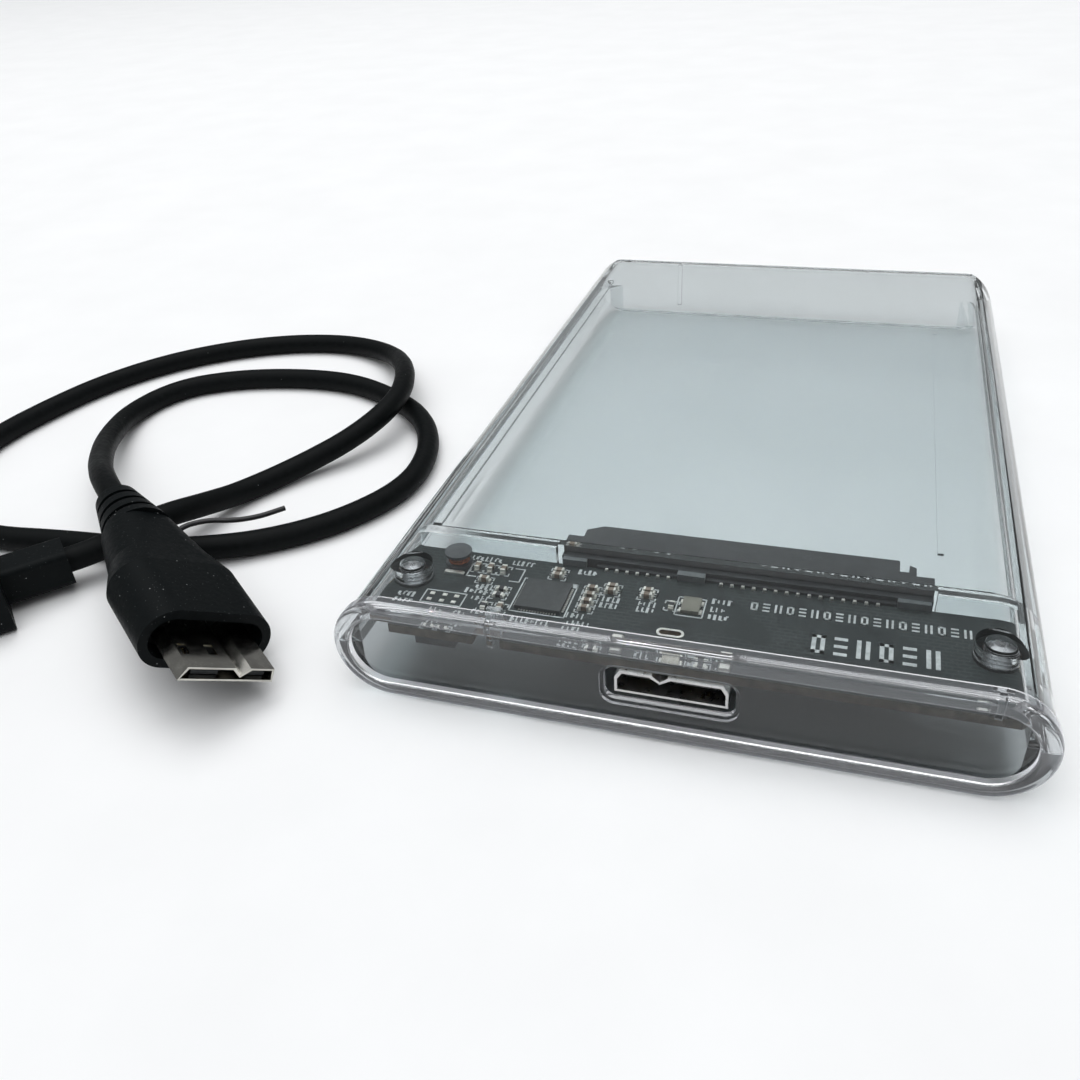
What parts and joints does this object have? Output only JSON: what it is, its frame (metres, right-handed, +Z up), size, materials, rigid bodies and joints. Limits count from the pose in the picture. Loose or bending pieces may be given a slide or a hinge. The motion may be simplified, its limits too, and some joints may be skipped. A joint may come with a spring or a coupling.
{
  "type": "external hard disk drive enclosure with cable",
  "caption": "Clear slide-open enclosure for a 2.5-inch hard disk drive, with its bridge board and drive connector inside and its short black USB cable lying beside it.",
  "frame": {"origin": "centre of the enclosure's bottom face", "axes": "+X across the enclosure, +Y from the USB end to the closed end (the way the cover slides off), +Z up"},
  "size_m": [0.1739, 0.156, 0.0148],
  "materials": {
    "clear_case": "clear polycarbonate, polished",
    "board": "dark green-black solder mask over glass laminate",
    "connector_black": "moulded glass-filled nylon",
    "contact_metal": "gold-flashed contact alloy",
    "shell_steel": "plated stamped steel",
    "chip_black": "moulded epoxy, fine matt",
    "can_silver": "crystal lid, satin nickel",
    "ferrite": "sintered ferrite",
    "copper_wire": "enamelled copper wire",
    "led_body": "diffusing resin",
    "capacitor_body": "ceramic with tinned ends",
    "resistor_body": "film resistor with tinned ends",
    "screw_steel": "dark zinc plated",
    "cable_pvc": "soft matt PVC jacket",
    "plug_pvc": "soft matt moulded PVC",
    "insulator_blue": "blue moulded tongue",
    "tie_plastic": "thin PVC over wire"
  },
  "bodies": {
    "enclosure": {"base_tray": "clear_case", "front_cap": "clear_case", "circuit_board": "board", "sata_housing": "connector_black", "sata_signal_contacts": "contact_metal", "sata_power_contacts": "contact_metal", "usb_socket_shell": "shell_steel", "usb_socket_tongue": "connector_black", "usb_socket_contacts": "contact_metal", "bridge_chip": "chip_black", "flash_chip": "chip_black", "crystal_can": "can_silver", "inductor_core": "ferrite", "inductor_winding": "copper_wire", "status_led": "led_body", "ceramic_capacitors": "capacitor_body", "chip_resistors": "resistor_body", "board_screws": "screw_steel"},
    "cover": {"sliding_cover": "clear_case"},
    "cable": {"cable_jacket": "cable_pvc", "micro_b_overmold": "plug_pvc", "micro_b_shell": "shell_steel", "micro_b_insulator": "connector_black", "micro_b_contacts": "contact_metal", "usb_a_overmold": "plug_pvc", "usb_a_shell": "shell_steel", "usb_a_insulator": "insulator_blue", "usb_a_contacts": "contact_metal", "twist_tie": "tie_plastic"}
  },
  "joints": [
    {"name": "cover_slide", "type": "slide", "parent": "enclosure", "child": "cover", "axis": [0, 1, 0], "range_m": [0, 0.11]},
    {"name": "cable_lift", "type": "slide", "parent": "enclosure", "child": "cable", "axis": [0, 0, 1], "range_m": [0, 0.15]}
  ]
}
